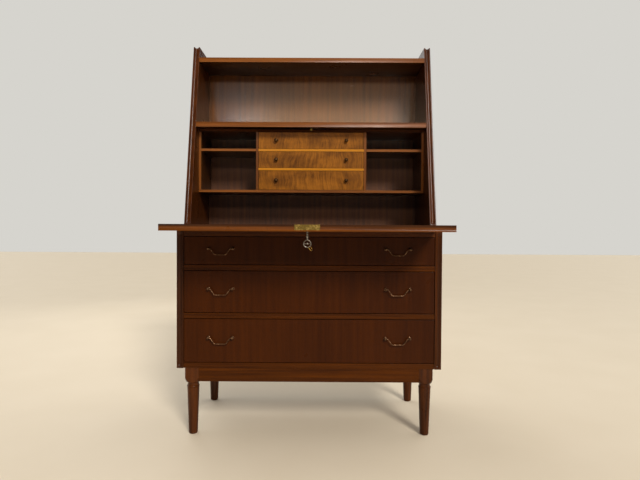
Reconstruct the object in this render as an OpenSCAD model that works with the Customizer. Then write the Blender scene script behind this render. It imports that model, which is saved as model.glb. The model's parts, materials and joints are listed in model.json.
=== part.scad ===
// Drop-front secretary desk: three large drawers, a fall flap that is the writing surface,
// a fitted interior with pigeonholes and three small drawers, and an open shelf above.
// Millimetres, +X right, +Y back, +Z up. Drawn at rest with the flap open and the drawers shut.

/* [Case] */
// Width over the side panels
overall_w = 928; // [860:1:1000]
// Height from the floor to the top of the side panels
overall_h = 1442; // [1420:1:1460]
// Depth of the case, without the open flap
case_d = 420; // [410:1:440]
// Thickness of the side panels
panel_t = 24; // [22:1:26]
// Thickness of the horizontal boards
board_t = 19; // [18:0.5:20]
// Height of the underside of the case above the floor
case_bottom_z = 239; // [230:1:244]
// Height of the ledge, the top of the lower case
ledge_z = 722; // [718:1:726]
// Depth of the ledge in front of the sloping part
ledge_d = 92; // [88:1:96]
// Lean of the sloping front edge from upright, in degrees
slope = 11.75; // [10:0.25:13]
// Height of the top face of the top board
top_board_z = 1400; // [1390:1:1404]
// Height of the top face of the middle shelf
shelf_z = 1138; // [1130:1:1142]
// Thickness of the middle shelf
shelf_t = 20; // [19:1:22]
// Thickness of the back panel
back_t = 6; // [5:1:8]
// Depth of the hollow worked along the panels' front and top edges
cove_d = 4; // [2:0.5:5]

/* [Flap] */
// Thickness of the flap
flap_t = 20; // [18:1:21]
// Gap between the flap and each side panel
flap_gap = 1.5; // [1:0.5:3]
// Width of the brass plate on the flap's front edge
lock_w = 76; // [70:1:80]
// Travel of the lock's bolt
bolt_travel = 7; // [5:0.5:8]

/* [Large drawers] */
// Height of the top drawer's front
front_1_h = 97; // [90:1:100]
// Height of the middle drawer's front
front_2_h = 146; // [140:1:150]
// Distance between the two posts of a handle
post_pitch = 85; // [80:1:90]
// Distance from the desk's middle to the middle of a handle
handle_x = 310; // [290:1:330]
// Drop of a hanging bail below its pivots
bail_drop = 21; // [18:1:22]

/* [Interior] */
// Distance from the case front to the front of the fitted interior
cubby_y = 225; // [220:1:235]
// Height of the underside of the fitted interior
cubby_z = 872.5; // [865:0.5:880]
// Thickness of its boards
cubby_t = 9.5; // [8:0.5:11]
// Distance from the middle to each divider's mid-plane
divider_x = 211; // [205:1:215]
// Height of the upper small drawer's rail
small_rail_1_z = 1033; // [1028:1:1036]
// Height of the lower small drawer's rail
small_rail_2_z = 958.5; // [955:0.5:962]
// Distance from the middle to each small knob
small_knob_x = 137; // [120:1:150]

/* [Legs] */
// Height of the square part of a leg and of the aprons
block_h = 48; // [45:1:50]
// Side of the square part of a leg
block_w = 48; // [45:1:50]
// Distance from the desk's middle to the outside of the leg blocks
base_x = 436; // [430:1:438]

/* [Hidden] */
$fn = 48;
eps = 0.01;

// Colours of the materials
walnut = "#6b3d20";
walnut_dark = "#4a2413";
lining = "#9a7448";
light_wood = "#d9a24a";
brass = "#b79a55";
bronze = "#8a7350";

// Case
half_w = overall_w / 2;
inner_x = half_w - panel_t;
inner_back = case_d - back_t;
front_set = 3;
edge_set = 1;
rebate_w = 8;
cove_w = 16;
cove_r = (cove_w * cove_w / 4 + cove_d * cove_d) / (2 * cove_d);
cove_stop = 14;
cove_stop_upper = 34;
rail_d = 60;
runner_w = 22;
shelf_under = shelf_z - shelf_t;

// The sloping front edge: its distance back from the case front at height z
function slope_y(z) = ledge_d + (z - ledge_z) * tan(slope);

// Flap and its pivot line, in the middle of the flap's thickness
rest_gap = 0.2;
flap_low = ledge_z + rest_gap;
flap_high = flap_low + flap_t;
pivot_z = flap_low + flap_t / 2;
pivot_y = slope_y(pivot_z) + flap_t / 2 / cos(slope);
flap_top_gap = 1;
flap_len = (shelf_under - flap_top_gap - pivot_z - flap_t / 2 * sin(slope)) / cos(slope);
flap_front = pivot_y - flap_len;
flap_half = inner_x - flap_gap;
roll_r = flap_t / 2 - 0.3;
pin_r = 4;
pin_play = 0.05;
pin_in_flap = 12.5;
pin_in_panel = 9.5;
bed_top = flap_high - rest_gap;
bed_y = pivot_y + flap_t / 2 / cos(slope) + (bed_top - pivot_z) * tan(slope) + 0.6;

// The part's origin is on the floor, in the middle of the open desk's outline
shift_y = -(flap_front + case_d) / 2;

// Lock, key and strike
plate_t = 2;
plate_h = 16.5;
plate_low = flap_high - plate_h;
bolt_w = 24;
bolt_t = 6;
bolt_len = 14;
bolt_play = 0.3;
lock_body_w = 60;
lock_body_d = 34;
lock_skin = 2;
lock_depth = 15.2;
lock_low = flap_high - lock_depth;
lock_screw_x = [-34, 34];
screw_r = 1.5;
screw_head_r = 2.8;
screw_sink = 1.4;
screw_len = 14;
screw_slot = 0.8;
screw_slot_d = 0.7;
key_back = 22;
key_y = flap_front + key_back;
shank_r = 2.75;
keyhole_r = 3.5;
slot_w = 3;
slot_reach = 9;
escutcheon_r = 10;
escutcheon_t = 1;
escutcheon_off = 3;
bit_reach = 7;
bit_t = 2;
bit_h = 7;
tip_z = flap_high - lock_skin - 1;
collar_h = 4;
collar_z = flap_low - 18;
collar_rim = 1.4;
bow_r = 10.8;
bow_wire = 1.6;
bow_z = flap_low - 37;
cross_r = 1.3;
ring_angle = 35;
ring_x = bow_r * sin(ring_angle);
ring_z = bow_z - bow_r * cos(ring_angle);
ring_r = 8.5;
ring_wire = 0.8;
ring_turn = 70;
ring_slack = 0.3;
strike_y = pivot_y + (shelf_under - pivot_z) * tan(slope);
strike_w = 40;
strike_d = 16;
strike_t = 1.5;
strike_slot_w = bolt_w + 2;
strike_slot_d = bolt_t + 5;
strike_slot_y = strike_y - 5;
pocket_h = bolt_travel + 4;
stop_w = 8;
stop_t = 1.6;
stop_h = 10;
stop_len = 25;
stop_face = strike_y + flap_t / 2 / cos(slope) + 0.7;

// Large drawers, from the top down: bottom and top of each front
reveal = 2;
front_t = 19;
top_1 = ledge_z - board_t - reveal;
low_1 = top_1 - front_1_h;
top_2 = low_1 - board_t - 2 * reveal;
low_2 = top_2 - front_2_h;
top_3 = low_2 - board_t - 2 * reveal;
low_3 = case_bottom_z + board_t + reveal;
front_lows = [low_1, low_2, low_3];
front_tops = [top_1, top_2, top_3];
front_gap = 1.5;
tray_t = 12;
tray_floor_t = 5;
tray_len = 368;
tray_drop = 14;
tray_lift = 0.4;
floor_lift = 8;
post_lift = [7, 11, 11.5];
post_out = 12;
post_r = 3;
rose_r = 5.5;
rose_t = 1.5;
ball_r = 5.2;
bail_wire = 1.8;
bail_play = 0.3;
bail_bar = 40;
pin_x = post_pitch / 2 - 0.6;
shoulder_x = post_pitch / 2 - 7.5;
knuckle = 0.2;
// Corners of a bail's centre line in (x, z), from one post along the bar to the other
bail_corners = [
    [-pin_x, 0], [-shoulder_x, 0], [-bail_bar / 2, -bail_drop],
    [bail_bar / 2, -bail_drop], [shoulder_x, 0], [pin_x, 0],
];

// Interior
cubby_top_z = shelf_under - cubby_t;
cubby_floor = cubby_z + cubby_t;
slot_half = divider_x - cubby_t / 2;
slot_lows = [small_rail_1_z + cubby_t, small_rail_2_z + cubby_t, cubby_floor];
slot_tops = [cubby_top_z, small_rail_1_z, small_rail_2_z];
small_gap = 1;
small_front_t = 12;
small_set = 1.5;
small_tray_t = 7;
small_tray_len = 165;
small_tray_drop = 10;
small_floor_t = 3;
knob_r = 7.2;
knob_out = 14;
knob_dome = 5;

// Base
block_low = case_bottom_z - block_h;
base_front = 5;
base_back = case_d - 2;
apron_t = 20;
front_leg_y = base_front + block_w / 2;
back_leg_y = base_back - block_w / 2;
foot_r = 15.7;
foot_chamfer = 2.5;
neck_r = 19;
bead_r = 22.2;
taper_r = 21.3;
shoulder_r = 35;
neck_z = block_low - 10;
hollow_r = 5;
bead_z = block_low - 20;
bead_h = 5;

// ---------- helpers ----------

// Moves work drawn from the case front to the part's origin
module in_case() { translate([0, shift_y, 0]) children(); }

// A box between two opposite corners
module span(low, high) { translate(low) cube(high - low); }

// A side view in (y, z), carried across from x0 to x1
module across(x0, x1) {
    translate([x0, 0, 0]) rotate([90, 0, 90]) linear_extrude(x1 - x0) children();
}

// A round bar from a to b, both (x, z) points in the same plane of constant y
module rod_xz(a, b, r) {
    along = b - a;
    translate([a[0], 0, a[1]])
        rotate([0, atan2(along[0], along[1]), 0]) cylinder(r = r, h = norm(along));
}

// A ring of round wire, its middle circle of radius r
module torus(r, wire) { rotate_extrude() translate([r, 0]) circle(r = wire); }

// ---------- case ----------

module panel_outline() {
    polygon([
        [0, case_bottom_z], [case_d, case_bottom_z], [case_d, overall_h],
        [slope_y(overall_h), overall_h], [ledge_d, ledge_z], [0, ledge_z],
    ]);
}

// The hollows along the exposed edges: a stopped one on the upright front edge, and one that
// starts above the ledge, follows the slope and meets the one along the top
module panel_coves(mid_x) {
    off = cove_r - cove_d;
    low = case_bottom_z + cove_stop;
    high = ledge_z - cove_stop;
    translate([mid_x, -off, low]) {
        cylinder(r = cove_r, h = high - low);
        sphere(r = cove_r);
        translate([0, 0, high - low]) sphere(r = cove_r);
    }
    start_z = ledge_z + cove_stop_upper;
    translate([mid_x, slope_y(start_z) - off * cos(slope), start_z + off * sin(slope)])
        rotate([-slope, 0, 0]) {
            sphere(r = cove_r);
            cylinder(r = cove_r, h = (overall_h - start_z) / cos(slope) + cove_r);
        }
    translate([mid_x, slope_y(overall_h) - cove_r, overall_h + off])
        rotate([-90, 0, 0]) cylinder(r = cove_r, h = case_d);
}

// side is -1 for the left panel and 1 for the right one
module side_panel(side) {
    low_x = side > 0 ? inner_x : -half_w;
    difference() {
        across(low_x, low_x + panel_t) panel_outline();
        panel_coves(side * (half_w - panel_t / 2));
        span([side > 0 ? inner_x - eps : -inner_x - rebate_w, inner_back, case_bottom_z - eps],
             [side > 0 ? inner_x + rebate_w : -inner_x + eps, case_d + eps, top_board_z]);
        translate([side * (inner_x + pin_in_panel + 1), pivot_y, pivot_z])
            rotate([0, -side * 90, 0]) cylinder(r = pin_r + pin_play, h = pin_in_panel + 2);
    }
}

module side_panel_left() { color(walnut) in_case() side_panel(-1); }

module side_panel_right() { color(walnut) in_case() side_panel(1); }

// A board whose front edge follows the slope
module sloped_board(low, high) {
    across(-inner_x, inner_x) polygon([
        [slope_y(low) + edge_set, low], [inner_back, low],
        [inner_back, high], [slope_y(high) + edge_set, high],
    ]);
}

module top_board() { color(walnut) in_case() sloped_board(top_board_z - board_t, top_board_z); }

// The strike's outline and the slot for the bolt, from height low and h high
module strike_block(low, h) {
    translate([-strike_w / 2, strike_y - strike_d / 2, low]) cube([strike_w, strike_d, h]);
}

module strike_slot(low, h) {
    translate([-strike_slot_w / 2, strike_slot_y, low]) cube([strike_slot_w, strike_slot_d, h]);
}

module middle_shelf() {
    color(walnut) in_case() difference() {
        sloped_board(shelf_under, shelf_z);
        strike_block(shelf_under - 1, strike_t + 1);
        strike_slot(shelf_under - 1, pocket_h + 1);
    }
}

module writing_bed() {
    color(walnut) in_case() span([-inner_x, bed_y, ledge_z], [inner_x, inner_back, bed_top]);
}

// A level board of the lower case, from its front edge to depth d
module case_board(low, d) { span([-inner_x, front_set, low], [inner_x, d, low + board_t]); }

module case_top() { color(walnut_dark) in_case() case_board(ledge_z - board_t, inner_back); }

module rail_upper() { color(walnut) in_case() case_board(low_1 - reveal - board_t, rail_d); }

module rail_lower() { color(walnut) in_case() case_board(low_2 - reveal - board_t, rail_d); }

module case_bottom() { color(walnut) in_case() case_board(case_bottom_z, inner_back); }

module back_panel() {
    x = inner_x + rebate_w;
    color(lining) in_case() span([-x, inner_back, case_bottom_z], [x, case_d, top_board_z]);
}

// The strips behind each rail that the drawers' sides run on
module drawer_runners() {
    color(lining) in_case() for (low = [low_1, low_2], side = [-1, 1]) {
        x = side > 0 ? inner_x - runner_w : -inner_x;
        span([x, rail_d, low - reveal - board_t], [x + runner_w, inner_back, low - reveal]);
    }
}

// ---------- base ----------

// An apron between two legs, its front face at y
module long_apron(y) {
    x = base_x - block_w;
    span([-x, y, block_low], [x, y + apron_t, case_bottom_z]);
}

module apron_front() {
    color(walnut) in_case() long_apron(base_front);
}

module apron_back() {
    color(walnut) in_case() long_apron(base_back - apron_t);
}

module apron_ends() {
    color(walnut) in_case() for (side = [-1, 1]) {
        x = side > 0 ? base_x - apron_t : -base_x;
        span([x, base_front + block_w, block_low], [x + apron_t, base_back - block_w, case_bottom_z]);
    }
}

// Turned profile below the square: shoulder, neck hollow, bead, taper and chamfered foot
module leg_profile() {
    half = bead_h / 2;
    arc = [for (a = [-80:20:80]) [bead_r - half + half * cos(a), bead_z + half * sin(a)]];
    hollow = [
        for (a = [180:-15:90]) [neck_r + hollow_r + hollow_r * cos(a), neck_z + hollow_r * sin(a)]
    ];
    polygon(concat(
        [[0, 0], [foot_r - foot_chamfer, 0], [foot_r, 4], [taper_r, bead_z - half - 1]],
        arc,
        [[neck_r, bead_z + half + 2]],
        hollow,
        [[shoulder_r, block_low + 14], [shoulder_r, case_bottom_z], [0, case_bottom_z]]
    ));
}

module leg(side_x, y) {
    color(walnut) in_case() translate([side_x * (base_x - block_w / 2), y, 0]) intersection() {
        rotate_extrude() leg_profile();
        translate([-block_w / 2, -block_w / 2, -1]) cube([block_w, block_w, case_bottom_z + 1]);
    }
}

module leg_front_left() { leg(-1, front_leg_y); }

module leg_front_right() { leg(1, front_leg_y); }

module leg_back_left() { leg(-1, back_leg_y); }

module leg_back_right() { leg(1, back_leg_y); }

// ---------- fitted interior ----------

// A level board of the interior between x0 and x1
module cubby_board(x0, x1, low) { span([x0, cubby_y, low], [x1, inner_back, low + cubby_t]); }

module cubby_top() { color(walnut) in_case() cubby_board(-inner_x, inner_x, cubby_top_z); }

module cubby_bottom() { color(walnut) in_case() cubby_board(-inner_x, inner_x, cubby_z); }

module cubby_sides() {
    color(walnut) in_case() for (x = [-inner_x, inner_x - cubby_t])
        span([x, cubby_y, cubby_floor], [x + cubby_t, inner_back, cubby_top_z]);
}

module cubby_dividers() {
    color(walnut) in_case() for (x = [-divider_x, divider_x])
        span([x - cubby_t / 2, cubby_y, cubby_floor], [x + cubby_t / 2, inner_back, cubby_top_z]);
}

module pigeonhole_shelves() {
    outer = inner_x - cubby_t;
    inner = divider_x + cubby_t / 2;
    color(walnut) in_case() {
        cubby_board(-outer, -inner, small_rail_1_z);
        cubby_board(inner, outer, small_rail_1_z);
    }
}

module small_drawer_rails() {
    color(light_wood) in_case() for (low = [small_rail_1_z, small_rail_2_z])
        cubby_board(-slot_half, slot_half, low);
}

// Brass plate let into the underside of the shelf, with a slot for the bolt
module strike_plate() {
    color(brass) in_case() difference() {
        strike_block(shelf_under, strike_t);
        strike_slot(shelf_under - 1, strike_t + 2);
    }
}

// Small angle under the shelf that the closed flap's inner face meets
module flap_stop() {
    color(brass) in_case() translate([-stop_w / 2, stop_face, shelf_under - stop_h]) {
        cube([stop_w, stop_t, stop_h]);
        translate([0, 0, stop_h - stop_t]) cube([stop_w, stop_len, stop_t]);
    }
}

// ---------- flap ----------

module keyhole(low, high, r, w) {
    translate([0, key_y, low]) {
        cylinder(r = r, h = high - low);
        translate([-w / 2, 0, 0]) cube([w, slot_reach, high - low]);
    }
}

module flap() {
    color(walnut) in_case() difference() {
        union() {
            span([-flap_half, flap_front, flap_low], [flap_half, pivot_y, flap_high]);
            translate([-flap_half, pivot_y, pivot_z])
                rotate([0, 90, 0]) cylinder(r = roll_r, h = 2 * flap_half);
        }
        for (side = [-1, 1]) translate([side * (flap_half - pin_in_flap), pivot_y, pivot_z])
            rotate([0, side * 90, 0]) cylinder(r = pin_r, h = pin_in_flap + 1);
        translate([-lock_w / 2, flap_front - 1, plate_low])
            cube([lock_w, plate_t + 1, plate_h + 1]);
        translate([-lock_body_w / 2, flap_front - 1, lock_low])
            cube([lock_body_w, lock_body_d + 1, flap_t]);
        keyhole(flap_low - 1, lock_low + 1, keyhole_r, slot_w);
        for (x = lock_screw_x) translate([x, flap_front, pivot_z])
            rotate([-90, 0, 0]) cylinder(r = screw_r, h = screw_len);
    }
}

// The pins turn in the side panels' bores
module pivot_pins() {
    color(brass) in_case() for (side = [-1, 1])
        translate([side * (flap_half - pin_in_flap), pivot_y, pivot_z])
            rotate([0, side * 90, 0]) cylinder(r = pin_r, h = pin_in_flap + flap_gap + pin_in_panel);
}

// A shallow box let in from the flap's inner face, open at the front for the bolt
module lock_case() {
    x = lock_body_w / 2;
    color(brass) in_case() difference() {
        span([-x, flap_front + plate_t, lock_low], [x, flap_front + lock_body_d, flap_high]);
        span([lock_skin - x, flap_front + plate_t - 1, lock_low + lock_skin],
             [x - lock_skin, flap_front + lock_body_d - lock_skin, flap_high - lock_skin]);
        keyhole(lock_low - 1, lock_low + lock_skin + 1, keyhole_r, slot_w);
    }
}

module lock_plate() {
    color(brass) in_case() difference() {
        translate([-lock_w / 2, flap_front, plate_low]) cube([lock_w, plate_t, plate_h]);
        translate([-bolt_w / 2 - bolt_play, flap_front - 1, pivot_z - bolt_t / 2 - bolt_play])
            cube([bolt_w + 2 * bolt_play, plate_t + 2, bolt_t + 2 * bolt_play]);
        for (x = lock_screw_x) translate([x, flap_front, pivot_z]) rotate([90, 0, 0]) {
            translate([0, 0, -plate_t - 1]) cylinder(r = screw_r, h = plate_t + 2);
            translate([0, 0, -screw_sink]) cylinder(r1 = screw_r, r2 = screw_head_r, h = screw_sink);
        }
    }
}

// Countersunk slotted screws
module lock_screws() {
    color(brass) in_case() for (x = lock_screw_x)
        translate([x, flap_front, pivot_z]) rotate([-90, 0, 0]) difference() {
            union() {
                cylinder(r1 = screw_head_r, r2 = screw_r, h = screw_sink);
                cylinder(r = screw_r, h = screw_len);
            }
            translate([-screw_head_r - 1, -screw_slot / 2, -1])
                cube([2 * screw_head_r + 2, screw_slot, screw_slot_d + 1]);
        }
}

// Brass ring round the keyhole on the flap's outer face
module escutcheon() {
    color(brass) in_case() difference() {
        translate([0, key_y + escutcheon_off, flap_low - escutcheon_t])
            cylinder(r = escutcheon_r, h = escutcheon_t);
        keyhole(flap_low - escutcheon_t - 1, flap_low + 1, keyhole_r, slot_w);
    }
}

module lock_bolt() {
    color(brass) in_case()
        translate([-bolt_w / 2, flap_front, pivot_z - bolt_t / 2]) cube([bolt_w, bolt_len, bolt_t]);
}

// Hangs down from the flap's outer face, turned a quarter from the slot so that it stays in
module key() {
    color(bronze) in_case() translate([0, key_y, 0]) {
        translate([0, 0, bow_z + bow_r]) cylinder(r = shank_r, h = tip_z - bow_z - bow_r);
        translate([-bit_reach, -bit_t / 2, tip_z - bit_h - 1]) cube([bit_reach, bit_t, bit_h]);
        translate([0, 0, collar_z]) cylinder(r = shank_r + collar_rim, h = collar_h);
        translate([0, 0, bow_z]) rotate([90, 0, 0]) torus(bow_r, bow_wire);
        translate([-bow_r, 0, bow_z]) rotate([0, 90, 0]) cylinder(r = cross_r, h = 2 * bow_r);
    }
}

// Leans outwards from the lower right of the bow, turned about its own leaning axis
module key_ring() {
    color(brass) in_case() translate([ring_x, key_y, ring_z]) rotate([0, -ring_angle, 0])
        translate([0, 0, bow_wire + ring_wire + ring_slack - ring_r])
            rotate([90, 0, ring_turn]) torus(ring_r, ring_wire);
}

// ---------- large drawers ----------

module drawer_front(i) {
    x = inner_x - front_gap;
    color(walnut_dark) in_case()
        span([-x, front_set, front_lows[i]], [x, front_set + front_t, front_tops[i]]);
}

// Sides, back and bottom of a drawer, glued up as one open box
module drawer_tray(i) {
    x = inner_x - front_gap;
    low = front_lows[i] - reveal + tray_lift;
    high = front_tops[i] - tray_drop;
    y = front_set + front_t;
    color(lining) in_case() difference() {
        span([-x, y, low], [x, y + tray_len, high]);
        span([tray_t - x, y - 1, low + floor_lift + tray_floor_t],
             [x - tray_t, y + tray_len - tray_t, high + 1]);
        span([tray_t - x, y - 1, low - 1], [x - tray_t, y + tray_len + 1, low + floor_lift]);
    }
}

function post_z(i) = (front_lows[i] + front_tops[i]) / 2 + post_lift[i];

// Turned posts with ball ends, each drilled from the side that faces its bail. The ball's seam is
// turned to the front, clear of the post and of the bore.
module drawer_posts(i) {
    color(bronze) in_case() for (middle = [-handle_x, handle_x], side = [-1, 1])
        translate([middle + side * post_pitch / 2, front_set, post_z(i)]) difference() {
            union() {
                rotate([90, 0, 0]) cylinder(r = rose_r, h = rose_t);
                rotate([90, 0, 0]) cylinder(r = post_r, h = post_out);
                translate([0, -post_out, 0]) rotate([0, 0, -90]) sphere(r = ball_r);
            }
            translate([0, -post_out, 0]) rotate([0, -side * 90, 0])
                cylinder(r = bail_wire + bail_play, h = ball_r + 1);
        }
}

// Round wire bent at each corner, its ends turned outwards into the posts
module bail(i, side) {
    color(bronze) in_case() translate([side * handle_x, front_set - post_out, post_z(i)]) {
        for (k = [1:len(bail_corners) - 1])
            rod_xz(bail_corners[k - 1], bail_corners[k], bail_wire);
        for (k = [1:len(bail_corners) - 2])
            translate([bail_corners[k][0], 0, bail_corners[k][1]]) sphere(r = bail_wire + knuckle);
    }
}

module bail_1_left() { bail(0, -1); }

module bail_1_right() { bail(0, 1); }

module bail_2_left() { bail(1, -1); }

module bail_2_right() { bail(1, 1); }

module bail_3_left() { bail(2, -1); }

module bail_3_right() { bail(2, 1); }

module drawer_1_front() { drawer_front(0); }

module drawer_2_front() { drawer_front(1); }

module drawer_3_front() { drawer_front(2); }

module drawer_1_tray() { drawer_tray(0); }

module drawer_2_tray() { drawer_tray(1); }

module drawer_3_tray() { drawer_tray(2); }

module drawer_1_posts() { drawer_posts(0); }

module drawer_2_posts() { drawer_posts(1); }

module drawer_3_posts() { drawer_posts(2); }

// ---------- small drawers ----------

module small_front(i) {
    x = slot_half - small_gap;
    y = cubby_y + small_set;
    color(walnut) in_case()
        span([-x, y, slot_lows[i] + small_gap], [x, y + small_front_t, slot_tops[i] - small_gap]);
}

module small_tray(i) {
    x = slot_half - small_gap;
    y = cubby_y + small_set + small_front_t;
    low = slot_lows[i] + tray_lift;
    high = slot_tops[i] - small_tray_drop;
    color(lining) in_case() difference() {
        span([-x, y, low], [x, y + small_tray_len, high]);
        span([small_tray_t - x, y - 1, low + small_floor_t],
             [x - small_tray_t, y + small_tray_len - small_tray_t, high + 1]);
    }
}

// Turned profile of a knob, from its foot over the neck to the domed head
module knob_profile() {
    dome = [for (a = [0:15:90]) [knob_r * cos(a), knob_out - knob_dome + knob_dome * sin(a)]];
    polygon(concat(
        [[0, 0], [4.5, 0], [4.5, 1], [2.8, 2.5], [2.8, 5.5], [knob_r - 1, knob_out - 6.5]],
        dome
    ));
}

module small_knobs(i) {
    z = (slot_lows[i] + slot_tops[i]) / 2;
    color(bronze) in_case() for (x = [-small_knob_x, small_knob_x])
        translate([x, cubby_y + small_set, z]) rotate([90, 0, 0]) rotate_extrude() knob_profile();
}

module small_drawer_1_front() { small_front(0); }

module small_drawer_2_front() { small_front(1); }

module small_drawer_3_front() { small_front(2); }

module small_drawer_1_tray() { small_tray(0); }

module small_drawer_2_tray() { small_tray(1); }

module small_drawer_3_tray() { small_tray(2); }

module small_drawer_1_knobs() { small_knobs(0); }

module small_drawer_2_knobs() { small_knobs(1); }

module small_drawer_3_knobs() { small_knobs(2); }

side_panel_left();
side_panel_right();
top_board();
middle_shelf();
writing_bed();
case_top();
rail_upper();
rail_lower();
case_bottom();
back_panel();
drawer_runners();
apron_front();
apron_back();
apron_ends();
leg_front_left();
leg_front_right();
leg_back_left();
leg_back_right();
cubby_top();
cubby_bottom();
cubby_sides();
cubby_dividers();
pigeonhole_shelves();
small_drawer_rails();
strike_plate();
flap_stop();
flap();
pivot_pins();
lock_case();
lock_plate();
lock_screws();
escutcheon();
lock_bolt();
key();
key_ring();
drawer_1_front();
drawer_1_tray();
drawer_1_posts();
bail_1_left();
bail_1_right();
drawer_2_front();
drawer_2_tray();
drawer_2_posts();
bail_2_left();
bail_2_right();
drawer_3_front();
drawer_3_tray();
drawer_3_posts();
bail_3_left();
bail_3_right();
small_drawer_1_front();
small_drawer_1_tray();
small_drawer_1_knobs();
small_drawer_2_front();
small_drawer_2_tray();
small_drawer_2_knobs();
small_drawer_3_front();
small_drawer_3_tray();
small_drawer_3_knobs();
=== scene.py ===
"""Builds the looks of a drop-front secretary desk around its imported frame.

Every length is in metres, in the frame's own axes: +X to the right, +Y to the back, +Z up.
"""

import json
import logging
import math
from collections.abc import Sequence
from dataclasses import dataclass, field
from enum import Enum
from functools import lru_cache

import bmesh
import bpy
import numpy as np
from mathutils import Matrix, Vector


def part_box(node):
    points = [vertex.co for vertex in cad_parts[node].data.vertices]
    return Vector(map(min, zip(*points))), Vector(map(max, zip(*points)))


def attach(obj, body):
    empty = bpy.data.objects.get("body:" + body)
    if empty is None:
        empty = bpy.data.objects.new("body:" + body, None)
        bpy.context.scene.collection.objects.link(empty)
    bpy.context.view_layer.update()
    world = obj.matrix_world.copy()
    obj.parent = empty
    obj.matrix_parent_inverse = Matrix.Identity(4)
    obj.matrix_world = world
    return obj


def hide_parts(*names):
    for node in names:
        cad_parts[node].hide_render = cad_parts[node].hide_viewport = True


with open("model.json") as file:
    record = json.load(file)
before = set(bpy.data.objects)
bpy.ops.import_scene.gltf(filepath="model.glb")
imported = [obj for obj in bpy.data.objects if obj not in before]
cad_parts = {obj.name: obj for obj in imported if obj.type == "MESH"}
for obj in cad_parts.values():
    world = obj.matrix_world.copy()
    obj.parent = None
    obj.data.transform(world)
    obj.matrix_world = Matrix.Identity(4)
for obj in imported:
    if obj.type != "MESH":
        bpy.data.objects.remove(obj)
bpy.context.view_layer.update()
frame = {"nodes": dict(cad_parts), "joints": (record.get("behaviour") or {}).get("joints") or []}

# The radius of a turned shape's ends, too small to see, and the gap that is closed by merging
NO_RADIUS, MERGED = 1e-6, 2e-6
LOG = logging.getLogger("secretary_desk")

Array = np.ndarray
Shell = tuple[Array, list]
Colour = tuple[float, float, float]


class Axis(Enum):
    """The direction that a board's grain runs in, as a column of the frame's axes."""

    X = 0
    Y = 1
    Z = 2


class Slot(Enum):
    """The record's material slots."""

    WALNUT = "walnut"
    DRAWER = "drawer_veneer"
    FIGURED = "figured_veneer"
    LINING = "lining_wood"
    BACK = "back_panel"
    LIGHT = "light_wood"
    BRASS = "brass"
    BRONZE = "aged_bronze"
    KEY = "key_metal"


# ---------------------------------------------------------------- shader helpers


def srgb(red: int, green: int, blue: int) -> Colour:
    """Turns a colour as a screen shows it into the linear numbers that a shader takes.

    Args:
        red: Its red, 0 to 255.
        green: Its green.
        blue: Its blue.

    Returns:
        Its linear red, green and blue, 0 to 1.
    """
    part = np.array([red, green, blue]) / 255
    linear = np.where(part <= 0.04045, part / 12.92, ((part + 0.055) / 1.055) ** 2.4)
    return tuple(float(v) for v in linear)


class Wire:
    """The output socket of a shader node, which can be used in arithmetic."""

    def __init__(self, recipe: "Recipe", socket: bpy.types.NodeSocket) -> None:
        """Wraps a socket.

        Args:
            recipe: The material's recipe, which adds the Math nodes.
            socket: The output socket.
        """
        self.recipe = recipe
        self.socket = socket

    def _math(self, operation: str, *terms: object) -> "Wire":
        """Adds one Math node over the terms, in order."""
        inputs = dict(enumerate(terms))
        return self.recipe.node("ShaderNodeMath", {"operation": operation}, inputs)

    def __add__(self, other: object) -> "Wire":
        """self + other."""
        return self._math("ADD", self, other)

    def __sub__(self, other: object) -> "Wire":
        """self - other."""
        return self._math("SUBTRACT", self, other)

    def __rsub__(self, other: object) -> "Wire":
        """other - self."""
        return self._math("SUBTRACT", other, self)

    def __mul__(self, other: object) -> "Wire":
        """self * other."""
        return self._math("MULTIPLY", self, other)

    def __pow__(self, other: object) -> "Wire":
        """self to the power other."""
        return self._math("POWER", self, other)

    __radd__, __rmul__ = __add__, __mul__

    def __neg__(self) -> "Wire":
        """-self."""
        return self._math("MULTIPLY", self, -1.0)

    def root(self) -> "Wire":
        """The square root."""
        return self._math("SQRT", self)

    def sine(self) -> "Wire":
        """The sine of an angle in radians."""
        return self._math("SINE", self)

    def between(self, low: float, high: float) -> "Wire":
        """0 at low and below, 1 at high and above, smooth in between.

        Args:
            low: The value that gives 0.
            high: The value that gives 1.

        Returns:
            The eased value.
        """
        return self.recipe.node(
            "ShaderNodeMapRange",
            {"interpolation_type": "SMOOTHSTEP"},
            {"Value": self, "From Min": low, "From Max": high},
        )


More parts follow.
